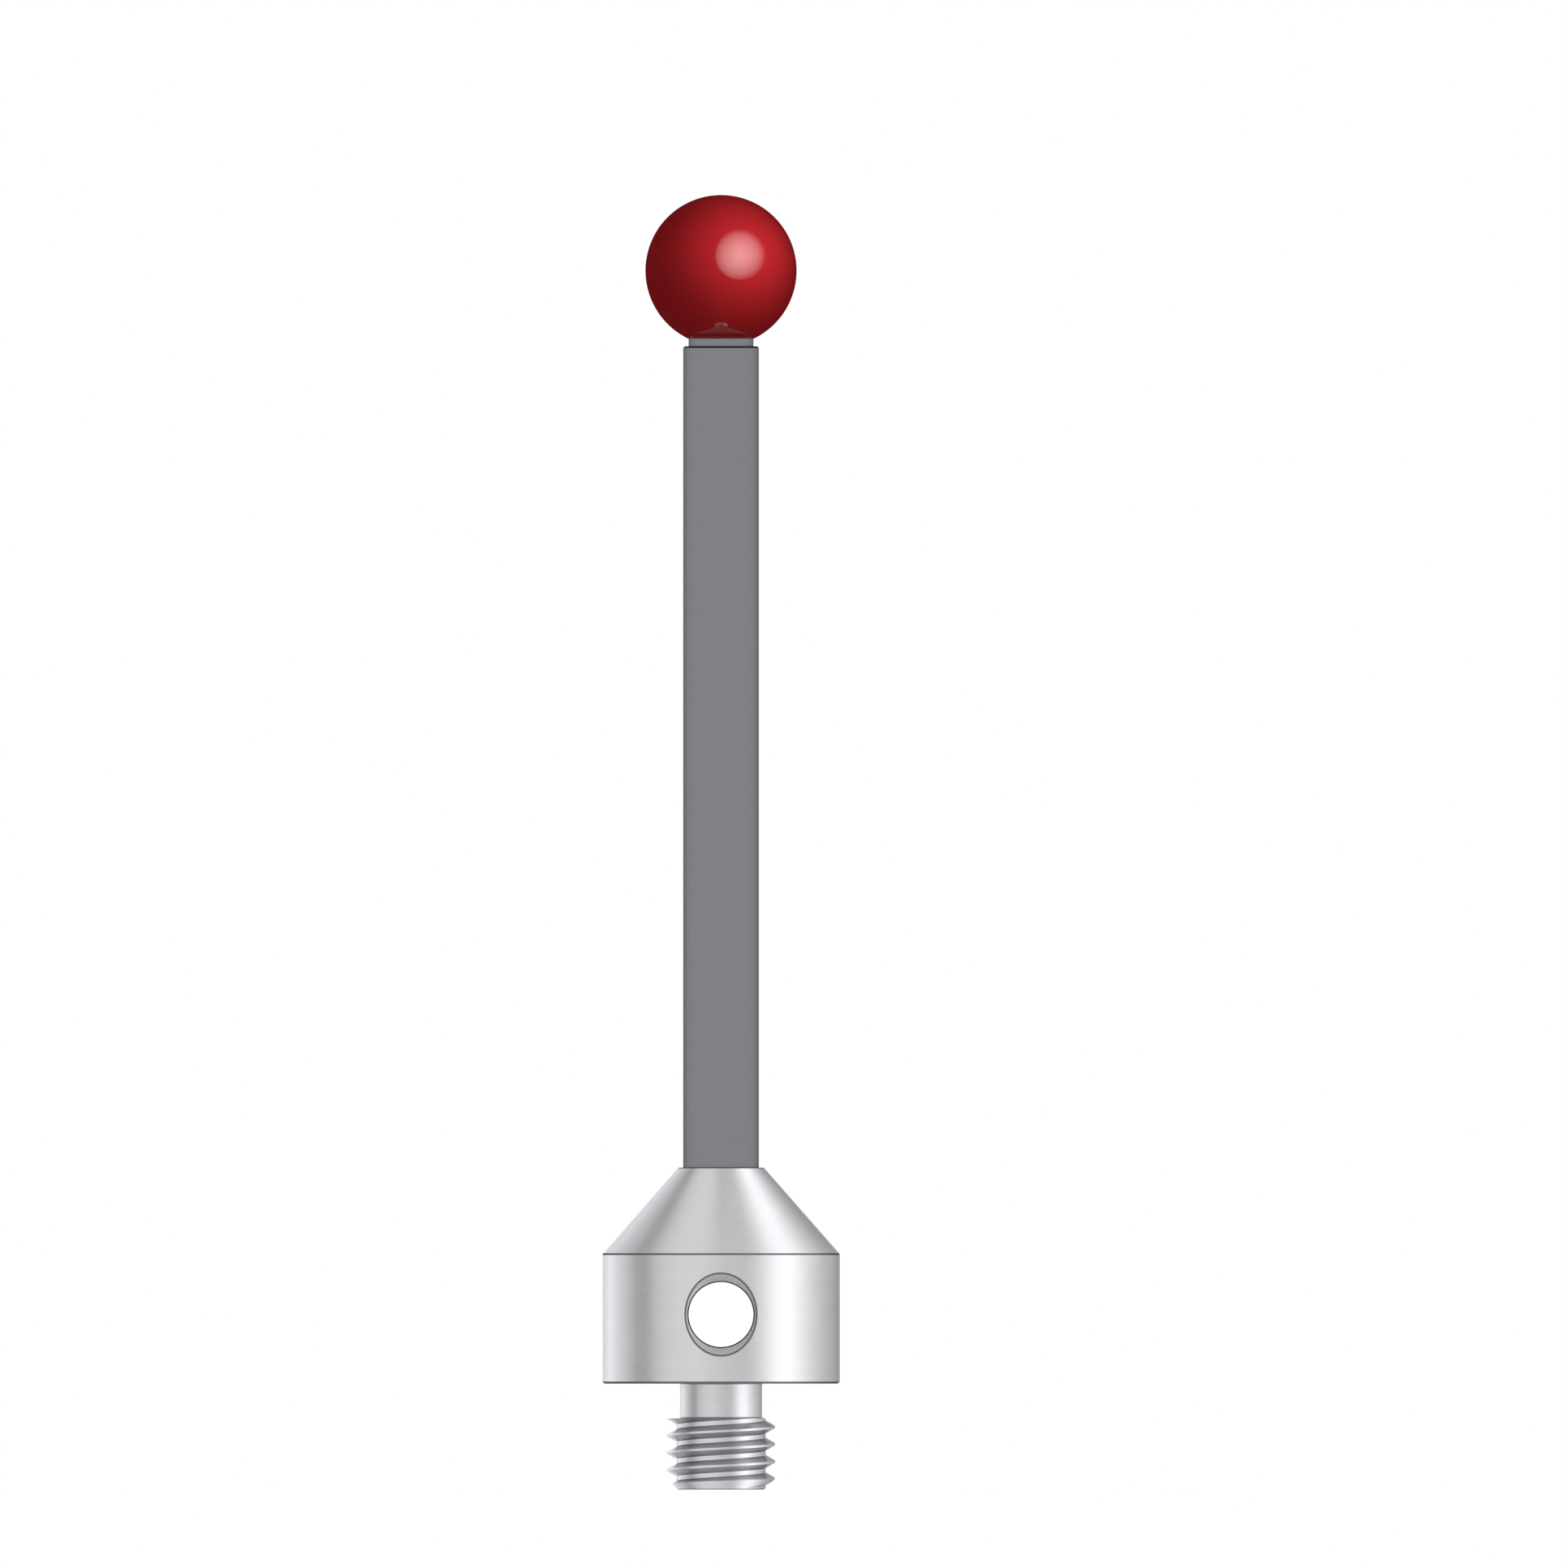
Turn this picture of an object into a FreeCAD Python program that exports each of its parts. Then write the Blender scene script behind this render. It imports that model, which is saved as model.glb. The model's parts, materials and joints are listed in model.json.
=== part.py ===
"""Ball stylus for a coordinate measuring machine, in millimetres.

A polished ruby ball is bonded on the spigot of a ground carbide stem. The stem is bonded in the socket of
a turned steel holder. The holder seats on its flat underside and screws into the probe with an M5 stud.
The origin is the centre of the seating face. +Z runs along the stylus to the ball.
"""

import FreeCAD
import Part
import Sketcher

import math
import os
import sys

# Driving dimensions: alias, value and what it sizes
SIZES = [
    ("reach", 55.0, "seating face to the top of the ball"),
    ("ball_dia", 7.0, "ruby ball"),
    ("stem_dia", 3.5, "ground carbide stem"),
    ("stem_edge", 0.08, "edge break on the shoulder of the stem"),
    ("stem_lead", 0.2, "chamfer on the buried end of the stem"),
    ("shoulder_width", 0.25, "step from the stem down to the spigot that enters the ball"),
    ("spigot_length", 3.4, "shoulder of the stem to the end of the spigot"),
    ("spigot_edge", 0.15, "chamfer on the end of the spigot"),
    ("bond_gap", 0.02, "adhesive film round the stem and round the spigot"),
    ("body_dia", 11.0, "cylinder of the holder"),
    ("body_length", 6.0, "seating face to the foot of the cone"),
    ("body_edge", 0.1, "edge break on the rim of the seating face"),
    ("cone_length", 4.0, "height of the cone"),
    ("nose_wall", 0.21, "wall round the socket at the tip of the cone"),
    ("socket_web", 0.8, "floor between the socket and the spanner hole"),
    ("hole_dia", 3.0, "spanner hole across the holder"),
    ("hole_height", 3.2, "seating face to the axis of the spanner hole"),
    ("sink_width", 0.4, "countersinks of the spanner hole, beside the hole"),
    ("sink_angle", 90.0, "included angle of the countersinks, in degrees"),
    ("stud_length", 4.9, "seating face to the end of the stud"),
    ("stud_chamfer", 0.5, "lead chamfer on the end of the stud"),
    ("thread_dia", 5.0, "outside of the thread"),
    ("thread_pitch", 0.8, "pitch of the thread"),
    ("relief_length", 1.6, "undercut between the seating face and the thread"),
    ("relief_depth", 0.167, "undercut below the root of the thread"),
    ("relief_radius", 0.1, "corners of the undercut"),
]

# Metric thread form, as shares of the pitch: a 60 degree groove with a flat root
TRIANGLE = math.sqrt(3) / 2
THREAD_DEPTH = TRIANGLE * 5 / 8
ROOT_HALF_WIDTH = 1 / 8
FLANK_SLOPE = 1 / math.sqrt(3)

# Travel of the thread cutter, as shares of the pitch: out of the stud, below its end and into the undercut
OVERRUN = 0.1
LEAD_IN = 0.5
RUN_OUT = 0.55

# Two places closer than this are one place
SAME = 1e-6

# Radii and heights that follow from the driving dimensions
BODY_R = "Sizes.body_dia / 2"
SOCKET_R = "(Sizes.stem_dia / 2 + Sizes.bond_gap)"
NOSE_R = f"{SOCKET_R} + Sizes.nose_wall"
NOSE_Z = "Sizes.body_length + Sizes.cone_length"
SOCKET_Z = "(Sizes.hole_height + Sizes.hole_dia / 2 + Sizes.socket_web)"
STUD_R = "Sizes.thread_dia / 2"
RELIEF_R = f"{STUD_R} - {THREAD_DEPTH} * Sizes.thread_pitch - Sizes.relief_depth"
STEM_R = "Sizes.stem_dia / 2"
SPIGOT_R = f"({STEM_R} - Sizes.shoulder_width)"
SHOULDER_Z = f"(Sizes.reach - Sizes.ball_dia - {SOCKET_Z})"
BALL_R = "Sizes.ball_dia / 2"


def make_sheet(doc):
    sheet = doc.addObject("Spreadsheet::Sheet", "Sizes")
    for row, (alias, value, note) in enumerate(SIZES, start=1):
        sheet.set(f"A{row}", alias)
        sheet.set(f"B{row}", str(value))
        sheet.set(f"C{row}", note)
        sheet.setAlias(f"B{row}", alias)
    doc.recompute()


def new_body(doc, label, height="0"):
    """A body whose own origin stands at a height above the seating face."""
    body = doc.addObject("PartDesign::Body", label)
    body.Label = label
    body.setExpression("Placement.Base.z", height)
    return body


def origin_part(body, role):
    return next(part for part in body.Origin.OriginFeatures if part.Role == role)


def new_sketch(body, name, plane, offset="0"):
    """A sketch on one of the body's origin planes, or at an offset along the normal of that plane."""
    sketch = body.newObject("Sketcher::SketchObject", name)
    sketch.AttachmentSupport = [(origin_part(body, plane), "")]
    sketch.MapMode = "FlatFace"
    sketch.setExpression("AttachmentOffset.Base.z", offset)
    return sketch


def dimension(sketch, kind, *geometry, size):
    """A driving dimension that follows the spreadsheet."""
    number = sketch.addConstraint(Sketcher.Constraint(kind, *geometry, sketch.evalExpression(size)))
    sketch.setExpression(f"Constraints[{number}]", size)


def place(sketch, across, up):
    return FreeCAD.Vector(sketch.evalExpression(across), sketch.evalExpression(up), 0)


def circle(sketch, up, diameter):
    """A circle centred on the vertical axis of the sketch."""
    upright = FreeCAD.Vector(0, 0, 1)
    radius = sketch.evalExpression(diameter) / 2
    sketch.addGeometry(Part.Circle(place(sketch, "0", up), upright, radius), False)
    sketch.addConstraint(Sketcher.Constraint("PointOnObject", 0, 3, -2))
    dimension(sketch, "DistanceY", -1, 1, 0, 3, size=up)
    dimension(sketch, "Diameter", 0, size=diameter)


def outline(sketch, corners):
    """A closed outline of straight lines whose corners are dimensioned from the origin of the sketch."""
    points = [place(sketch, *corner) for corner in corners]
    for start, end in zip(points, points[1:] + points[:1]):
        sketch.addGeometry(Part.LineSegment(start, end), False)
    for here, (across, up) in enumerate(corners):
        before = (here - 1) % len(corners)
        sketch.addConstraint(Sketcher.Constraint("Coincident", before, 2, here, 1))
        dimension(sketch, "DistanceX", -1, 1, here, 1, size=across)
        dimension(sketch, "DistanceY", -1, 1, here, 1, size=up)


def revolve(body, name, sketch):
    """A full turn of the section about the axis of the body."""
    feature = body.newObject("PartDesign::Revolution", name)
    feature.Profile = sketch
    feature.ReferenceAxis = (sketch, ["V_Axis"])
    feature.Angle = 360
    body.Document.recompute()
    return feature


def ring(feature, radius, height):
    """The name of the circular edge at a radius and a height about the axis of the body."""
    centre = FreeCAD.Vector(0, 0, feature.evalExpression(height))
    size = feature.evalExpression(radius)
    for number, edge in enumerate(feature.Shape.Edges, start=1):
        curve = edge.Curve
        is_circle = isinstance(curve, Part.Circle)
        if is_circle and curve.Center.isEqual(centre, SAME) and abs(curve.Radius - size) < SAME:
            return f"Edge{number}"
    sys.exit(f"{feature.Label} has no ring at radius {size:.3f} and height {centre.z:.3f}")


def chamfer(body, name, base, radius, height, size):
    feature = body.newObject("PartDesign::Chamfer", name)
    feature.Base = (base, [ring(base, radius, height)])
    feature.setExpression("Size", size)
    body.Document.recompute()
    return feature


def fillet(body, name, base, rings, size):
    feature = body.newObject("PartDesign::Fillet", name)
    feature.Base = (base, [ring(base, radius, height) for radius, height in rings])
    feature.setExpression("Radius", size)
    body.Document.recompute()
    return feature


def make_holder(doc):
    body = new_body(doc, "holder")
    section = new_sketch(body, "HolderSection", "XZ_Plane")
    outline(section, [
        ("0", "-Sizes.stud_length"),
        (f"{STUD_R} - Sizes.stud_chamfer", "-Sizes.stud_length"),
        (STUD_R, "-Sizes.stud_length + Sizes.stud_chamfer"),
        (STUD_R, "-Sizes.relief_length"),
        (RELIEF_R, "-Sizes.relief_length"),
        (RELIEF_R, "0"),
        (BODY_R, "0"),
        (BODY_R, "Sizes.body_length"),
        (NOSE_R, NOSE_Z),
        (SOCKET_R, NOSE_Z),
        (SOCKET_R, SOCKET_Z),
        ("0", SOCKET_Z),
    ])
    turned = revolve(body, "TurnedHolder", section)
    rim = chamfer(body, "SeatRim", turned, BODY_R, "0", "Sizes.body_edge")
    corners = [(RELIEF_R, "0"), (RELIEF_R, "-Sizes.relief_length")]
    fillet(body, "UndercutCorners", rim, corners, "Sizes.relief_radius")
    cut_spanner_hole(body)
    cut_thread(body)
    return body


def cut_spanner_hole(body):
    """A through hole across the holder, countersunk where it leaves on each side."""
    centre = new_sketch(body, "SpannerHoleCentre", "XZ_Plane", BODY_R)
    circle(centre, "Sizes.hole_height", "Sizes.hole_dia")
    body.Document.recompute()
    hole = body.newObject("PartDesign::Hole", "SpannerHole")
    hole.Profile = centre
    hole.DepthType = "ThroughAll"
    hole.setExpression("Diameter", "Sizes.hole_dia")
    hole.HoleCutType = "Countersink"
    hole.HoleCutCustomValues = True
    hole.setExpression("HoleCutDiameter", "Sizes.hole_dia + 2 * Sizes.sink_width")
    hole.setExpression("HoleCutCountersinkAngle", "Sizes.sink_angle")
    body.Document.recompute()
    mirrored = body.newObject("PartDesign::Mirrored", "FarCountersink")
    mirrored.Originals = [hole]
    mirrored.MirrorPlane = (origin_part(body, "XZ_Plane"), [""])
    body.Tip = mirrored
    body.Document.recompute()


def cut_thread(body):
    """A right-hand metric thread that starts below the stud and runs out into the undercut."""
    pitch = "Sizes.thread_pitch"
    turns = f"ceil((Sizes.stud_length - Sizes.relief_length) / {pitch} + {LEAD_IN})"
    start = f"(-Sizes.relief_length - {turns} * {pitch})"
    root = f"{STUD_R} - {THREAD_DEPTH} * {pitch}"
    outside = f"{STUD_R} + {OVERRUN} * {pitch}"
    mouth = ROOT_HALF_WIDTH + (THREAD_DEPTH + OVERRUN) * FLANK_SLOPE
    groove = new_sketch(body, "ThreadGroove", "XZ_Plane")
    outline(groove, [
        (root, f"{start} - {ROOT_HALF_WIDTH} * {pitch}"),
        (outside, f"{start} - {mouth} * {pitch}"),
        (outside, f"{start} + {mouth} * {pitch}"),
        (root, f"{start} + {ROOT_HALF_WIDTH} * {pitch}"),
    ])
    body.Document.recompute()
    thread = body.newObject("PartDesign::SubtractiveHelix", "Thread")
    thread.Profile = groove
    thread.ReferenceAxis = (groove, ["V_Axis"])
    thread.Mode = "pitch-height-angle"
    thread.setExpression("Pitch", pitch)
    thread.setExpression("Height", f"({turns} + {RUN_OUT}) * {pitch}")
    thread.Angle = 0
    thread.LeftHanded = False
    thread.Reversed = False
    body.Document.recompute()


def make_stem(doc):
    """The stem stands on the floor of the socket. Its spigot ends on the floor of the hole in the ball."""
    body = new_body(doc, "carbide_stem", SOCKET_Z)
    section = new_sketch(body, "StemSection", "XZ_Plane")
    spigot_end = f"{SHOULDER_Z} + Sizes.spigot_length"
    outline(section, [
        ("0", "0"),
        (STEM_R, "0"),
        (STEM_R, SHOULDER_Z),
        (SPIGOT_R, SHOULDER_Z),
        (SPIGOT_R, spigot_end),
        ("0", spigot_end),
    ])
    ground = revolve(body, "GroundStem", section)
    buried_end = chamfer(body, "BuriedEnd", ground, STEM_R, "0", "Sizes.stem_lead")
    shoulder = chamfer(body, "Shoulder", buried_end, STEM_R, SHOULDER_Z, "Sizes.stem_edge")
    chamfer(body, "SpigotEnd", shoulder, SPIGOT_R, spigot_end, "Sizes.spigot_edge")
    return body


def make_ball(doc):
    """The body's origin is the centre of the ball. The blind hole for the spigot opens downwards."""
    body = new_body(doc, "ruby_ball", f"Sizes.reach - {BALL_R}")
    ball = body.newObject("PartDesign::AdditiveSphere", "Ball")
    ball.setExpression("Radius", BALL_R)
    body.Document.recompute()
    mouth = new_sketch(body, "SpigotHoleMouth", "XY_Plane", f"-{BALL_R}")
    circle(mouth, "0", f"2 * ({SPIGOT_R} + Sizes.bond_gap)")
    body.Document.recompute()
    hole = body.newObject("PartDesign::Pocket", "SpigotHole")
    hole.Profile = mouth
    hole.Reversed = True
    hole.setExpression("Length", "Sizes.spigot_length")
    body.Document.recompute()
    return body


def check(doc, bodies):
    """Stop unless every feature was built and changed its base, and every piece is one valid solid."""
    failed = [item.Label for item in doc.Objects if {"Invalid", "Error"} & set(item.State)]
    for item in doc.Objects:
        base = getattr(item, "BaseFeature", None)
        if base and abs(item.Shape.Volume - base.Shape.Volume) < SAME:
            failed.append(item.Label)
    for body in bodies:
        shape = body.Shape
        if shape.isNull() or not shape.isValid() or len(shape.Solids) != 1:
            failed.append(body.Label)
    if failed:
        sys.exit("Not built: " + ", ".join(failed))


def main():
    doc = FreeCAD.newDocument("BallStylus")
    make_sheet(doc)
    bodies = [make_holder(doc), make_stem(doc), make_ball(doc)]
    doc.recompute()
    check(doc, bodies)
    os.makedirs("parts", exist_ok=True)
    for body in bodies:
        body.Shape.exportStep(f"parts/{body.Label}.step")
        print(f"{body.Label}: {body.Shape.Volume:.3f} mm3")


main()
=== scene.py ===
"""Looks of a ball stylus for a coordinate measuring machine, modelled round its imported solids.

A polished ruby ball is bonded on the spigot of a ground carbide stem. The stem is bonded in the socket of a
turned steel holder, which screws into the probe with an M5 stud. Sizes are in millimetres and colours in sRGB
hex. +Z runs along the stylus to the ball, and the origin is the centre of the seating face.
"""

import json
import math

import bmesh
import bpy
from mathutils import Matrix, Vector


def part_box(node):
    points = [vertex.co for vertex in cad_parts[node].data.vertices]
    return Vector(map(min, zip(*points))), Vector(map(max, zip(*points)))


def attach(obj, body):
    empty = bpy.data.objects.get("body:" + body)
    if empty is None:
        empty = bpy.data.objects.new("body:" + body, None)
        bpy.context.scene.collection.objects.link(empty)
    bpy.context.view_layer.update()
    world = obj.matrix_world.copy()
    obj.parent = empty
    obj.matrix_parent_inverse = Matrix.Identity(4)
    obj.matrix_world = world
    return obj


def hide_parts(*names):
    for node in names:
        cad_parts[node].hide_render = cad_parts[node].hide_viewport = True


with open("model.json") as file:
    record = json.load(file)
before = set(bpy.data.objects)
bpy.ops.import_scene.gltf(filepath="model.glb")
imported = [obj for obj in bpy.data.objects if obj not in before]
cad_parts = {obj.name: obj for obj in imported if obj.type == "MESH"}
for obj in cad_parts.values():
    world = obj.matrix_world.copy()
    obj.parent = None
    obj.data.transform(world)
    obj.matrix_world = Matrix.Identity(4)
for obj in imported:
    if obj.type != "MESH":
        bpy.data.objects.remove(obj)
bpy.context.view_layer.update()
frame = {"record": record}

MM = 0.001


def corners_of(node):
    """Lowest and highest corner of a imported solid, in millimetres."""
    low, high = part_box(node)
    return low / MM, high / MM


def mount(name):
    """A mount of the part's record."""
    return next(entry for entry in frame["record"]["mounts"] if entry["name"] == name)


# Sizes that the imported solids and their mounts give
HOLDER_LOW, HOLDER_HIGH = corners_of("holder")
STEM_LOW, STEM_HIGH = corners_of("carbide_stem")
BALL_HIGH = corners_of("ruby_ball")[1]
BODY_R = HOLDER_HIGH.x
NOSE_Z = HOLDER_HIGH.z
STUD_END = HOLDER_LOW.z
STEM_R = STEM_HIGH.x
STEM_FOOT = STEM_LOW.z
SPIGOT_END = STEM_HIGH.z
BALL_R = BALL_HIGH.x
BALL_TOP = BALL_HIGH.z
BALL_Z = BALL_TOP - BALL_R
HOLE_R = mount("spanner_hole")["dims"]["r_mm"]
HOLE_Z = mount("spanner_hole")["pos_m"][2] / MM
THREAD_R = mount("m5_thread")["dims"]["r_mm"]

# Holder
CONE_FOOT = 6.0
BOND_GAP = 0.02
NOSE_WALL = 0.21
SINK_WIDTH = 0.4
RELIEF_R = 1.9
RELIEF_END = -1.6
RELIEF_FILLET = 0.1
STUD_CHAMFER = 0.5
SEAT_CHAMFER = 0.1
STEEL_EDGE = 0.05
# The break at the inner rims of the cross hole, in the dark edge finish: painted shade at the mouth of the
# bore
BORE_EDGE = 0.08
SOCKET_R = STEM_R + BOND_GAP
SINK_START = BODY_R - SINK_WIDTH

# Thread: a 60 degree groove with a flat root, cut from below the stud up into the undercut, where it runs
# out over part of a turn. The cutter stands out of the stud by the overrun.
PITCH = 0.8
THREAD_DEPTH = PITCH * math.sqrt(3) / 2 * 5 / 8
ROOT_HALF_WIDTH = PITCH / 8
FLANK_SLOPE = math.tan(math.radians(30))
OVERRUN = 0.05
FULL_TURNS = 5
RUN_OUT = 0.55
FIRST_TURN = RELIEF_END - FULL_TURNS * PITCH

# Stem
SHOULDER_Z = 48.0
SPIGOT_R = 1.5
SPIGOT_CHAMFER = 0.15
FOOT_CHAMFER = 0.2
SHOULDER_CHAMFER = 0.08

# Steps of round surfaces: a full turn, the arc of the ball, and a small fillet
AROUND = 256
BALL_STEPS = 128
FILLET_STEPS = 6

# The least turn between two faces that shows as an edge, and places so close that they are one
SHARP = math.radians(14)
WELD = 0.0015

# The most weight that large faces can have in the shading, so that small chamfers don't bend it
LARGE_FACES_RULE = 100

# Material slots of a piece after its main finish: its broken edges, whose dark finish is painted shade along
# the edges, and what a drill has cut
EDGE = 1
DRILLED = 2

# Half the length of the drill, well outside the holder
FAR = 10.0


def section(corners):
    """Half of a lengthwise cut, as one line through its corners (radius, height)."""
    bm = bmesh.new()
    verts = [bm.verts.new((r * MM, 0, z * MM)) for r, z in corners]
    for pair in zip(verts, verts[1:]):
        bm.edges.new(pair)
    return bm, verts


def tidy(bm):
    """Joins what lies in one place, drops slivers and turns every face outwards."""
    bmesh.ops.remove_doubles(bm, verts=bm.verts, dist=WELD * MM)
    bmesh.ops.dissolve_degenerate(bm, edges=bm.edges, dist=WELD * MM)
    bmesh.ops.recalc_face_normals(bm, faces=bm.faces)


def turn(bm):
    """Turns the section once round Z and closes the surface."""
    bmesh.ops.spin(bm, geom=bm.verts[:] + bm.edges[:], cent=(0, 0, 0), axis=(0, 0, 1),
                   angle=math.tau, steps=AROUND, use_merge=True, use_duplicate=False)
    tidy(bm)


def lathe(corners, chamfers, fillets=None):
    """A solid turned from its section. Chamfers and fillets give a size for the number of a corner."""
    bm, verts = section(corners)
    for sizes, steps in ((chamfers, 1), (fillets or {}, FILLET_STEPS)):
        for number, size in sizes.items():
            bmesh.ops.bevel(bm, geom=[verts[number]], offset=size * MM, offset_type="OFFSET",
                            segments=steps, profile=0.5, affect="VERTICES", material=-1)
    turn(bm)
    # Chamfer faces take the piece's dark edge finish: painted shade along the edges
    for face in bm.faces:
        middle = face.calc_center_median() / MM
        for number, size in chamfers.items():
            r, z = corners[number]
            if math.hypot(middle.xy.length - r, middle.z - z) < size:
                face.material_index = EDGE
    return bm


def new_object(name, bm, *finishes):
    """An object made from a bmesh, with its finishes in the order of its material slots."""
    mesh = bpy.data.meshes.new(name)
    bm.to_mesh(mesh)
    bm.free()
    for finish in finishes:
        mesh.materials.append(finish)
    piece = bpy.data.objects.new(name, mesh)
    bpy.context.scene.collection.objects.link(piece)
    return piece


def dress(piece, node):
    """Smooth shading between true edges, and the piece's place in the frame."""
    piece.data.shade_smooth()
    piece.data.set_sharp_from_angle(angle=SHARP)
    even = piece.modifiers.new("even shading", "WEIGHTED_NORMAL")
    even.keep_sharp = True
    even.weight = LARGE_FACES_RULE
    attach(piece, "root")
    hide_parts(node)
    return piece


def cut(bm, cutter, finishes):
    """What is left of a solid when the cutter is taken out of it. Both used objects go with their meshes."""
    whole = new_object("whole", bm, *finishes)
    tool = new_object("tool", cutter, *finishes)
    boolean = whole.modifiers.new("cut", "BOOLEAN")
    boolean.operation = "DIFFERENCE"
    boolean.solver = "EXACT"
    boolean.object = tool
    rest = whole.evaluated_get(bpy.context.evaluated_depsgraph_get()).to_mesh()
    left = bmesh.new()
    left.from_mesh(rest)
    tidy(left)
    for used in (whole.data, tool.data):
        bpy.data.meshes.remove(used)
    return left


def make_ball(finish):
    """The ball has a blind hole for the spigot. Its arc starts at the rim of that hole."""
    hole_r = SPIGOT_R + BOND_GAP
    rim_angle = math.asin(hole_r / BALL_R)
    rim_z = BALL_Z - BALL_R * math.cos(rim_angle)
    bm, verts = section([(0, SPIGOT_END), (hole_r, SPIGOT_END), (hole_r, rim_z)])
    bmesh.ops.spin(bm, geom=[verts[-1]], cent=(0, 0, BALL_Z * MM), axis=(0, -1, 0),
                   angle=math.pi - rim_angle, steps=BALL_STEPS, use_merge=False, use_duplicate=False)
    turn(bm)
    return dress(new_object("polished_ball", bm, finish), "ruby_ball")


def make_stem(finish, edge_finish):
    """One ground rod with a thinner spigot on its upper end."""
    bm = lathe([
        (0, STEM_FOOT),
        (STEM_R, STEM_FOOT),
        (STEM_R, SHOULDER_Z),
        (SPIGOT_R, SHOULDER_Z),
        (SPIGOT_R, SPIGOT_END),
        (0, SPIGOT_END),
    ], chamfers={1: FOOT_CHAMFER, 2: SHOULDER_CHAMFER, 4: SPIGOT_CHAMFER})
    return dress(new_object("ground_stem", bm, finish, edge_finish), "carbide_stem")


def turned_holder():
    """The holder as it leaves the lathe, before the cross hole and the thread are cut."""
    return lathe([
        (0, STUD_END),
        (THREAD_R - STUD_CHAMFER, STUD_END),
        (THREAD_R, STUD_END + STUD_CHAMFER),
        (THREAD_R, RELIEF_END),
        (RELIEF_R, RELIEF_END),
        (RELIEF_R, 0),
        (BODY_R, 0),
        (BODY_R, CONE_FOOT),
        (SOCKET_R + NOSE_WALL, NOSE_Z),
        (SOCKET_R, NOSE_Z),
        (SOCKET_R, STEM_FOOT),
        (0, STEM_FOOT),
    ], chamfers={1: STEEL_EDGE, 6: SEAT_CHAMFER, 7: STEEL_EDGE, 8: STEEL_EDGE, 9: STEEL_EDGE},
        fillets={4: RELIEF_FILLET, 5: RELIEF_FILLET})


def spanner_drill():
    """The cross hole with a countersink at each end, turned upright and then laid along Y."""
    bm = lathe([
        (0, -FAR),
        (HOLE_R + FAR - SINK_START, -FAR),
        (HOLE_R, -SINK_START),
        (HOLE_R, SINK_START),
        (HOLE_R + FAR - SINK_START, FAR),
        (0, FAR),
    ], chamfers={2: BORE_EDGE, 3: BORE_EDGE})
    # The breaks at the rims of the bore keep the dark edge finish, painted shade at its mouth
    for face in bm.faces:
        if face.material_index != EDGE:
            face.material_index = DRILLED
    bmesh.ops.rotate(bm, cent=(0, 0, 0), matrix=Matrix.Rotation(math.radians(90), 3, "X"), verts=bm.verts)
    bmesh.ops.translate(bm, vec=(0, 0, HOLE_Z * MM), verts=bm.verts)
    return bm


def thread_cutter():
    """The right-hand groove of the thread as one long coil."""
    outside = THREAD_R + OVERRUN
    mouth = ROOT_HALF_WIDTH + (THREAD_DEPTH + OVERRUN) * FLANK_SLOPE
    root = THREAD_R - THREAD_DEPTH
    bm, verts = section([
        (root, FIRST_TURN - ROOT_HALF_WIDTH),
        (outside, FIRST_TURN - mouth),
        (outside, FIRST_TURN + mouth),
        (root, FIRST_TURN + ROOT_HALF_WIDTH),
    ])
    bm.edges.new((verts[-1], verts[0]))
    steps = round((FULL_TURNS + RUN_OUT) * AROUND)
    bmesh.ops.spin(bm, geom=bm.verts[:] + bm.edges[:], cent=(0, 0, 0), axis=(0, 0, 1),
                   dvec=(0, 0, PITCH * MM / AROUND), angle=math.tau * steps / AROUND, steps=steps,
                   use_merge=False, use_duplicate=False)
    bmesh.ops.holes_fill(bm, edges=[edge for edge in bm.edges if edge.is_boundary], sides=0)
    tidy(bm)
    return bm


def break_sink_rims(bm):
    """Breaks the curved edge where each countersink meets the round side of the holder."""
    past_bore = (SINK_START + BORE_EDGE) * MM
    round_rim = (HOLE_R + 2 * SINK_WIDTH) * MM
    rims = [edge for edge in bm.edges if edge.calc_face_angle(0) > SHARP and all(
        abs(vert.co.y) > past_bore and math.hypot(vert.co.x, vert.co.z - HOLE_Z * MM) < round_rim
        for vert in edge.verts)]
    broken = bmesh.ops.bevel(bm, geom=rims, offset=STEEL_EDGE * MM, offset_type="OFFSET", segments=1,
                             profile=0.5, affect="EDGES", material=-1)
    # The broken rims take the dark edge finish: a line of painted shade round each countersink
    for face in broken["faces"]:
        face.material_index = EDGE


def make_holder(*finishes):
    """The turned holder, drilled, its rims broken, and then threaded."""
    bm = cut(turned_holder(), spanner_drill(), finishes)
    break_sink_rims(bm)
    bm = cut(bm, thread_cutter(), finishes)
    return dress(new_object("turned_holder", bm, *finishes), "holder")


def colour(code):
    """An sRGB hex colour as linear red, green, blue and alpha."""
    channels = [int(code[i:i + 2], 16) / 255 for i in (0, 2, 4)]
    return [c / 12.92 if c <= 0.04045 else ((c + 0.055) / 1.055) ** 2.4 for c in channels] + [1.0]


def add(tree, kind, inputs=None, **settings):
    """Adds a node with its settings. An input is a value, or another node's socket to link from."""
    node = tree.nodes.new(kind)
    for name, value in settings.items():
        setattr(node, name, value)
    for name, value in (inputs or {}).items():
        if isinstance(value, bpy.types.NodeSocket):
            tree.links.new(value, node.inputs[name])
        else:
            node.inputs[name].default_value = value
    return node


def new_material(name):
    """A material and its node tree, which is empty."""
    material = bpy.data.materials.new(name)
    material.use_nodes = True
    material.node_tree.nodes.clear()
    return material, material.node_tree


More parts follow.
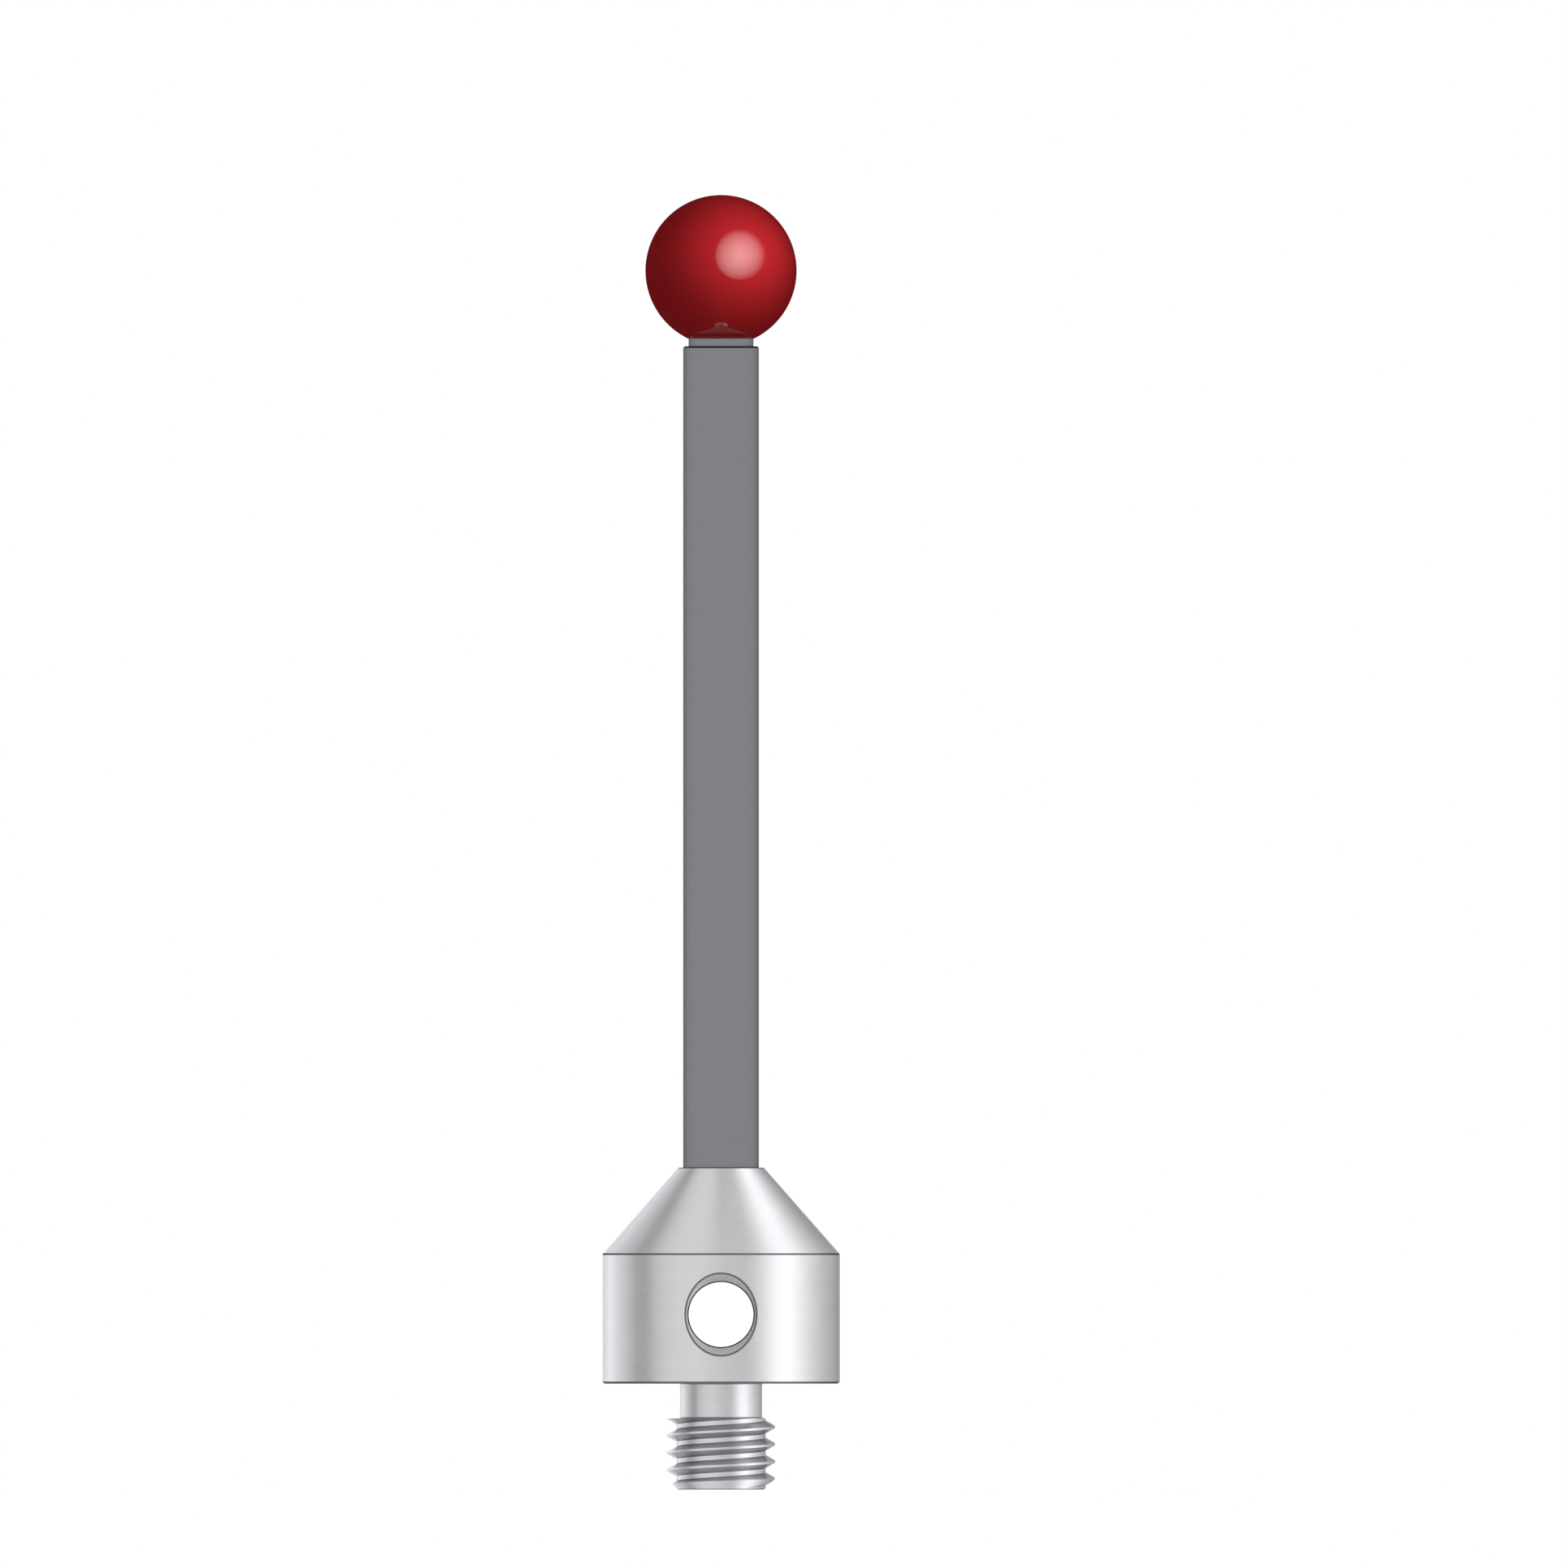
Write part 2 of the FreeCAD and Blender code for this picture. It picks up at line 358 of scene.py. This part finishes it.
def grain(tree, place, size, **settings):
    """Noise whose features are about a size in millimetres."""
    socket = "W" if settings.get("noise_dimensions") == "1D" else "Vector"
    return add(tree, "ShaderNodeTexNoise", {socket: place, "Scale": 1 / (size * MM), "Detail": 2.0},
               **settings).outputs["Fac"]


def between(tree, share, low, high):
    """A number that follows a share from 0 to 1 between two limits."""
    return add(tree, "ShaderNodeMapRange", {"Value": share, "To Min": low, "To Max": high}).outputs["Result"]


# The sockets of a Mix node that mixes colours, by number: its share, its two colours and its result
MIX_SHARE = 0
MIX_FIRST = 6
MIX_SECOND = 7
MIX_RESULT = 2


def blend(tree, share, first, second):
    """A colour that follows a share from 0 to 1 between two hex colours."""
    return add(tree, "ShaderNodeMix", {
        MIX_SHARE: share,
        MIX_FIRST: colour(first),
        MIX_SECOND: colour(second),
    }, data_type="RGBA").outputs[MIX_RESULT]


def radius_from(tree, place, across):
    """How far a place is from an axis. across is 1 along the two directions square to that axis."""
    flat = add(tree, "ShaderNodeVectorMath", {0: place, 1: across}, operation="MULTIPLY").outputs[0]
    return add(tree, "ShaderNodeVectorMath", {0: flat}, operation="LENGTH").outputs["Value"]


def lathe_path(tree):
    """Object coordinates, and how far the tool has travelled along a turned surface: height less radius."""
    place = add(tree, "ShaderNodeTexCoord").outputs["Object"]
    height = add(tree, "ShaderNodeSeparateXYZ", {0: place}).outputs["Z"]
    travel = add(tree, "ShaderNodeMath", {0: height, 1: radius_from(tree, place, (1, 1, 0))},
                 operation="SUBTRACT").outputs[0]
    return place, travel


def drill_path(tree):
    """Coordinates from the middle of the cross hole, and the distance from its axis."""
    place = add(tree, "ShaderNodeMapping", {"Vector": add(tree, "ShaderNodeTexCoord").outputs["Object"],
                                            "Location": (0, 0, -HOLE_Z * MM)}).outputs["Vector"]
    return place, radius_from(tree, place, (1, 0, 1))


# Turns the stretch of a highlight, which goes round the axis, so that it goes along it
QUARTER_TURN = 0.25


def metal(name, tones, rough, marks, bite, tint, lengthwise, grit, path=lathe_path):
    """A metal that was turned, ground or drilled: fine rings in its tone, gloss and relief.

    tones are two hex colours, rough the least and most roughness, marks the spacing of the rings, bite their
    depth, tint the hex colour of its edge reflection, lengthwise the stretch of highlights along Z, grit the
    size of the patches in which the gloss changes, and path the way that the tool took.
    """
    material, tree = new_material(name)
    place, travel = path(tree)
    rings = grain(tree, travel, marks, noise_dimensions="1D")
    patches = grain(tree, place, grit)
    both = add(tree, "ShaderNodeMath", {0: rings, 1: patches}, operation="ADD").outputs[0]
    mean = add(tree, "ShaderNodeMath", {0: both, 1: 1 / 2}, operation="MULTIPLY").outputs[0]
    relief = add(tree, "ShaderNodeBump", {"Height": rings, "Distance": bite * MM})
    tangent = add(tree, "ShaderNodeTangent", direction_type="RADIAL", axis="Z")
    shader = add(tree, "ShaderNodeBsdfPrincipled", {
        "Base Color": blend(tree, mean, *tones),
        "Metallic": 1.0,
        "Roughness": between(tree, mean, *rough),
        "Specular Tint": colour(tint),
        "Anisotropic": lengthwise,
        "Anisotropic Rotation": QUARTER_TURN,
        "Tangent": tangent.outputs["Tangent"],
        "Normal": relief.outputs["Normal"],
    })
    add(tree, "ShaderNodeOutputMaterial", {"Surface": shader.outputs["BSDF"]})
    return material


def turned_steel():
    """Stainless steel, finish-turned: bright, with rings from the tool and highlights drawn out along Z.

    The feed of the tool is about 0.05 mm. The rings are drawn at 0.12 mm, so that they show.
    """
    return metal("finish-turned stainless steel", tones=("C1C2C4", "CFD0D2"), rough=(0.19, 0.29), marks=0.12,
                 bite=0.0005, tint="B4B4B6", lengthwise=0.5, grit=1.2)


def drilled_steel():
    """Stainless steel in the cross hole and its countersinks, which the drill has left satin, with rings."""
    return metal("drilled stainless steel", tones=("C1C2C4", "CFD0D2"), rough=(0.45, 0.55), marks=0.08,
                 bite=0.0005, tint="B4B4B6", lengthwise=0.0, grit=0.4, path=drill_path)


def deburred_steel_painted_shade():
    """Stainless steel where a file has broken the edge: a thin matt line, darker than the turned faces. The
    matt finish is real; the darker tone is painted shade that draws each edge as a dark line.
    """
    # Painted shade: the dark tones draw each broken edge as a dark line
    return metal("deburred stainless steel with painted edge shade", tones=("5E5D5F", "757476"), rough=(0.4, 0.5), marks=0.1,
                 bite=0.001, tint="8C8C8E", lengthwise=0.0, grit=0.3)


def ground_carbide():
    """Tungsten carbide, centreless ground: a dull even grey with hairlines round the rod.

    The hairlines are a few thousandths of a millimetre apart. They are drawn at 0.1 mm, so that they show.
    """
    return metal("centreless-ground tungsten carbide", tones=("7B7C7F", "87888B"), rough=(0.36, 0.46),
                 marks=0.1, bite=0.0004, tint="B4B4B6", lengthwise=0.0, grit=0.4)


def ground_edge_painted_shade():
    """Tungsten carbide at the chamfer of the shoulder: a dark, dull line. The dull finish is real; the
    darkness is painted shade that draws the edge.
    """
    # Painted shade: the dark tones draw the chamfer as a dark line
    return metal("edge of ground tungsten carbide with painted shade", tones=("3A393B", "474648"), rough=(0.5, 0.6), marks=0.1,
                 bite=0.001, tint="6A6A6C", lengthwise=0.0, grit=0.3)


# The distance between the lines of a wave texture whose scale is 1
WAVE = math.tau / 20

# In the ruby, the distance between growth lines as they are drawn, and the size of patches in its polish
GROWTH_LINES = 3.0
POLISH = 2.5


def polished_ruby():
    """Synthetic ruby, lapped and polished: deep red and glassy.

    Flame-grown ruby has curved growth lines a few hundredths of a millimetre apart. They are drawn at 3 mm
    and stay faint, so that they only cloud the red a little.
    """
    material, tree = new_material("polished synthetic ruby")
    place = add(tree, "ShaderNodeTexCoord").outputs["Object"]
    seed = add(tree, "ShaderNodeMapping", {"Vector": place, "Location": (0, 0, -BALL_TOP * MM)})
    lines = add(tree, "ShaderNodeTexWave", {
        "Vector": seed.outputs["Vector"],
        "Scale": WAVE / (GROWTH_LINES * MM),
        "Distortion": 1.5,
        "Detail": 1.0,
    }, wave_type="RINGS", rings_direction="SPHERICAL").outputs["Fac"]
    patches = grain(tree, place, POLISH)
    shader = add(tree, "ShaderNodeBsdfPrincipled", {
        "Base Color": blend(tree, lines, "BE262C", "C4282E"),
        "Roughness": between(tree, patches, 0.04, 0.07),
        "IOR": 1.77,
        "Specular IOR Level": 0.5,
    })
    add(tree, "ShaderNodeOutputMaterial", {"Surface": shader.outputs["BSDF"]})
    return material


# The picture's frame in pixels: its side, its scale, and where it has the axis and the seating face
PICTURE_SIDE = 1932
PIXELS_PER_MM = 26.63
AXIS_PIXEL = 888.4
SEAT_PIXEL = 1704.9
CAMERA_DISTANCE = 200.0


def make_camera():
    """A straight side view along +Y, without perspective."""
    data = bpy.data.cameras.new("camera")
    data.type = "ORTHO"
    data.ortho_scale = PICTURE_SIDE / PIXELS_PER_MM * MM
    camera = bpy.data.objects.new("camera", data)
    across = (PICTURE_SIDE / 2 - AXIS_PIXEL) / PIXELS_PER_MM
    up = (SEAT_PIXEL - PICTURE_SIDE / 2) / PIXELS_PER_MM
    camera.location = (across * MM, -CAMERA_DISTANCE * MM, up * MM)
    camera.rotation_euler = (math.radians(90), 0, 0)
    bpy.context.scene.collection.objects.link(camera)
    bpy.context.scene.camera = camera


# Studio. Light is a share of what makes a white card white. Directions are in degrees: round the stylus from
# the camera's side towards +X, and above the horizon.
FILL = 0.24

# Suns: the key and top lights fall on the floor, and the back light on the ball
SOFTNESS = 35
KEY = 0.7
KEY_FROM = (31, 35)
TOP = 0.3
TOP_FROM = (0, 80)
BACK = 0.35
BACK_FROM = (180, 5)

# The near light and the softboxes aim at the ball's middle, from a distance in millimetres
BALL_MIDDLE = Vector((0, 0, BALL_Z * MM))
NEAR = 1.3
NEAR_FROM = (24, 18.5)
NEAR_AT = 9.3
NEAR_R = 4.0

# Softboxes that the ball mirrors: from where, and how large. The first makes the round highlight of the
# picture, and the second is for the views from behind.
SOFTBOXES = {
    "softbox": ((33.5, 24.5), (174.0, 145.0)),
    "softbox behind": ((190, 30), (80.0, 70.0)),
}
SOFTBOX_ROLL = 32
SOFTBOX_AT = 100.0

# A softbox's light at its brightest spot and at its rim, and the power by which it falls off between them.
# The spot is in the lamp's own coordinates, where the lamp is 1 wide and 1 high.
SOFTBOX_MIDDLE = 3.8
SOFTBOX_RIM = 0.2
SOFTBOX_FADE = 1.4
SOFTBOX_PEAK = (0.46, 0.5, 0)
SOFTBOX_HALF = 0.5

# A softbox fades out between these angles from square to the ball, so that it leaves the far rim its red
SQUARE_ENOUGH = 42
GRAZING = 60

# What each piece mirrors is a large room of its own, hung with panels that blend into each other. A panel is
# the turn of the surface that shows it to the camera, in degrees, and its light. Each room stands inside the
# next, and its radius is in metres, as the floor's size is.
BALL_ROOM = 4.0
STEM_ROOM = 5.0
HOLDER_ROOM = 6.0
ROOM_SEGMENTS = 32
ROOM_RINGS = 16
FLOOR_HALF = 2.0

# The light that the colour 1 of a panel stands for, and where a radial gradient has the camera's side
BRIGHTEST = 2.0
CAMERA_SIDE = 0.25

# Deep red cloth all round, so that the ball keeps its red up to the rim
BALL_PANELS = [(-90, 1.0), (90, 1.0)]
BALL_CLOTH = "641417"

# White, and grey where the stem turns away
STEM_PANELS = [
    (-90, 0.1),
    (-78, 0.3),
    (-70, 1.03),
    (70, 1.03),
    (78, 0.3),
    (90, 0.1),
]

# White, with two tall softboxes and grey cards between them
HOLDER_PANELS = [
    (-90, 2.0),
    (-70, 2.0),
    (-61, 1.25),
    (-53, 0.95),
    (-45, 0.6),
    (-39, 0.57),
    (-32, 0.9),
    (-24, 1.05),
    (-12, 1.1),
    (2, 0.92),
    (13, 0.85),
    (20, 1.15),
    (27, 1.65),
    (35, 1.78),
    (42, 1.45),
    (50, 1.1),
    (60, 0.88),
    (90, 0.95),
]


def make_world():
    """White behind everything and in what is mirrored, with an even fill for matt surfaces."""
    world = bpy.data.worlds.new("studio")
    bpy.context.scene.world = world
    world.use_nodes = True
    tree = world.node_tree
    tree.nodes.clear()
    ray = add(tree, "ShaderNodeLightPath").outputs
    seen = add(tree, "ShaderNodeMath", {0: ray["Is Camera Ray"], 1: ray["Is Glossy Ray"]},
               operation="ADD").outputs[0]
    white = add(tree, "ShaderNodeMath", {0: seen, 1: ray["Is Transmission Ray"]}, operation="ADD").outputs[0]
    light = add(tree, "ShaderNodeMath", {0: ray["Is Diffuse Ray"], 1: FILL, 2: white},
                operation="MULTIPLY_ADD").outputs[0]
    background = add(tree, "ShaderNodeBackground", {"Color": colour("FFFFFF"), "Strength": light})
    add(tree, "ShaderNodeOutputWorld", {"Surface": background.outputs["Background"]})


def light_only(lamp, piece):
    """Links a light to the one piece that it lights."""
    lit = bpy.data.collections.new(lamp.name)
    lit.objects.link(piece)
    lamp.light_linking.receiver_collection = lit


def panels(name, stops, see_past, tint="FFFFFF"):
    """Light on the wall of a room, hung by the turn of the surface that mirrors it to the camera's side.

    see_past lets the pieces of the rooms outside this one see through its wall.
    """
    material, tree = new_material(name)
    material.cycles.emission_sampling = "NONE"
    wall = add(tree, "ShaderNodeTexCoord").outputs["Object"]
    way = add(tree, "ShaderNodeVectorMath", {0: wall}, operation="NORMALIZE").outputs[0]
    half_way = add(tree, "ShaderNodeVectorMath", {0: way, 1: (0, -1, 0)}, operation="ADD").outputs[0]
    share = add(tree, "ShaderNodeTexGradient", {"Vector": half_way}, gradient_type="RADIAL").outputs["Fac"]
    ramp = add(tree, "ShaderNodeValToRGB", {"Fac": share})
    elements = ramp.color_ramp.elements
    elements.remove(elements[-1])
    for number, (turn_of_surface, light) in enumerate(stops):
        place = CAMERA_SIDE + turn_of_surface / 360
        element = elements.new(place) if number else elements[0]
        element.position = place
        element.color = [light / BRIGHTEST * c for c in colour(tint)[:3]] + [1.0]
    surface = add(tree, "ShaderNodeEmission", {"Color": ramp.outputs["Color"],
                                               "Strength": BRIGHTEST}).outputs[0]
    if see_past:
        past = add(tree, "ShaderNodeBsdfTransparent").outputs[0]
        surface = add(tree, "ShaderNodeAddShader", {0: surface, 1: past}).outputs[0]
    add(tree, "ShaderNodeOutputMaterial", {"Surface": surface})
    return material


def make_room(radius, light, piece):
    """A large sphere that only reflections see, and that lights one piece."""
    bm = bmesh.new()
    bmesh.ops.create_uvsphere(bm, u_segments=ROOM_SEGMENTS, v_segments=ROOM_RINGS, radius=radius)
    room = new_object(light.name, bm, light)
    room.visible_camera = False
    room.visible_diffuse = False
    room.visible_transmission = False
    room.visible_shadow = False
    light_only(room, piece)


def towards(round_stylus, above):
    """The way from the stylus to a light, as a vector of length 1."""
    a, h = math.radians(round_stylus), math.radians(above)
    return Vector((math.sin(a) * math.cos(h), -math.cos(a) * math.cos(h), math.sin(h)))


def new_lamp(name, kind, way, piece):
    """A lamp that lights one piece and shines back along its way."""
    data = bpy.data.lights.new(name, kind)
    lamp = bpy.data.objects.new(name, data)
    lamp.rotation_euler = way.to_track_quat("Z", "Y").to_euler()
    bpy.context.scene.collection.objects.link(lamp)
    light_only(lamp, piece)
    return lamp


def soft_sun(name, way, share, piece):
    """An even soft light on one piece, which no surface mirrors.

    A sun whose power is pi makes a white card white.
    """
    lamp = new_lamp(name, "SUN", way, piece)
    lamp.data.energy = share * math.pi
    lamp.data.angle = math.radians(SOFTNESS)
    lamp.visible_glossy = False


def near_light(ball):
    """A small lamp close to the ball, so that the ball darkens quickly away from it.

    Its light is that on the nearest spot of the ball. A lamp makes a white card there white when its power
    is the square of pi times its distance.
    """
    way = towards(*NEAR_FROM)
    lamp = new_lamp("near light", "AREA", way, ball)
    lamp.location = BALL_MIDDLE + way * NEAR_AT * MM
    lamp.data.shape = "DISK"
    lamp.data.size = 2 * NEAR_R * MM
    lamp.data.energy = NEAR * (math.pi * (NEAR_AT - BALL_R) * MM) ** 2
    lamp.visible_glossy = False
    lamp.visible_camera = False


def softbox(name, way, size, ball):
    """A softbox that the ball alone mirrors, brightest in the middle.

    Its power is pi times its area, at which it is as bright as its nodes say. They compare the way from a
    spot of the lamp to the ball's surface with the way to the ball's middle. The difference is the ball's
    radius where the light falls square on it, and nothing where it grazes.
    """
    lamp = new_lamp(name, "AREA", way, ball)
    lamp.location = BALL_MIDDLE + way * SOFTBOX_AT * MM
    lamp.rotation_euler.rotate_axis("Z", math.radians(SOFTBOX_ROLL))
    lamp.data.shape = "ELLIPSE"
    wide, high = (side * MM for side in size)
    lamp.data.size, lamp.data.size_y = wide, high
    lamp.data.energy = math.pi * math.pi * wide * high / 4
    lamp.visible_diffuse = False
    lamp.visible_camera = False
    lamp.data.use_nodes = True
    tree = lamp.data.node_tree
    tree.nodes.clear()
    spot = add(tree, "ShaderNodeNewGeometry").outputs["Parametric"]
    from_peak = add(tree, "ShaderNodeVectorMath", {0: spot, 1: SOFTBOX_PEAK},
                    operation="DISTANCE").outputs["Value"]
    share = add(tree, "ShaderNodeMath", {0: from_peak, 1: 1 / SOFTBOX_HALF}, operation="MULTIPLY").outputs[0]
    fade = add(tree, "ShaderNodeMath", {0: share, 1: SOFTBOX_FADE}, operation="POWER").outputs[0]
    light = between(tree, fade, SOFTBOX_MIDDLE, SOFTBOX_RIM)
    corner = (-wide / 2, -high / 2, SOFTBOX_AT * MM)
    way_to_middle = add(tree, "ShaderNodeVectorMath", {0: spot, 1: (wide, high, 0), 2: corner},
                        operation="MULTIPLY_ADD").outputs[0]
    to_middle = add(tree, "ShaderNodeVectorMath", {0: way_to_middle}, operation="LENGTH").outputs["Value"]
    to_surface = add(tree, "ShaderNodeLightPath").outputs["Ray Length"]
    difference = add(tree, "ShaderNodeMath", {0: to_middle, 1: to_surface}, operation="SUBTRACT").outputs[0]
    facing = add(tree, "ShaderNodeMapRange", {
        "Value": difference,
        "From Min": BALL_R * MM * math.cos(math.radians(GRAZING)),
        "From Max": BALL_R * MM * math.cos(math.radians(SQUARE_ENOUGH)),
    }, interpolation_type="SMOOTHSTEP").outputs["Result"]
    strength = add(tree, "ShaderNodeMath", {0: light, 1: facing}, operation="MULTIPLY").outputs[0]
    emission = add(tree, "ShaderNodeEmission", {"Strength": strength})
    add(tree, "ShaderNodeOutputLight", {"Surface": emission.outputs["Emission"]})


def make_floor():
    """A plain pale floor under the stud. It keeps the shadow."""
    material, tree = new_material("pale matt card")
    shader = add(tree, "ShaderNodeBsdfPrincipled", {"Base Color": colour("F4F4F4"), "Roughness": 0.9})
    add(tree, "ShaderNodeOutputMaterial", {"Surface": shader.outputs["BSDF"]})
    bm = bmesh.new()
    bmesh.ops.create_grid(bm, x_segments=1, y_segments=1, size=FLOOR_HALF)
    bmesh.ops.translate(bm, vec=(0, 0, STUD_END * MM), verts=bm.verts)
    floor = new_object("floor", bm, material)
    floor.visible_glossy = False
    floor.visible_diffuse = False
    return floor


ball = make_ball(polished_ruby())
stem = make_stem(ground_carbide(), ground_edge_painted_shade())
holder = make_holder(turned_steel(), deburred_steel_painted_shade(), drilled_steel())
make_camera()
make_world()
floor = make_floor()
soft_sun("key light", towards(*KEY_FROM), KEY, floor)
soft_sun("top light", towards(*TOP_FROM), TOP, floor)
soft_sun("back light", towards(*BACK_FROM), BACK, ball)
near_light(ball)
for name, (seen_from, size) in SOFTBOXES.items():
    softbox(name, towards(*seen_from), size, ball)
make_room(BALL_ROOM, panels("dim room", BALL_PANELS, see_past=True, tint=BALL_CLOTH), ball)
make_room(STEM_ROOM, panels("white room", STEM_PANELS, see_past=True), stem)
make_room(HOLDER_ROOM, panels("room with softboxes", HOLDER_PANELS, see_past=False), holder)
bpy.context.scene.view_settings.view_transform = "Standard"
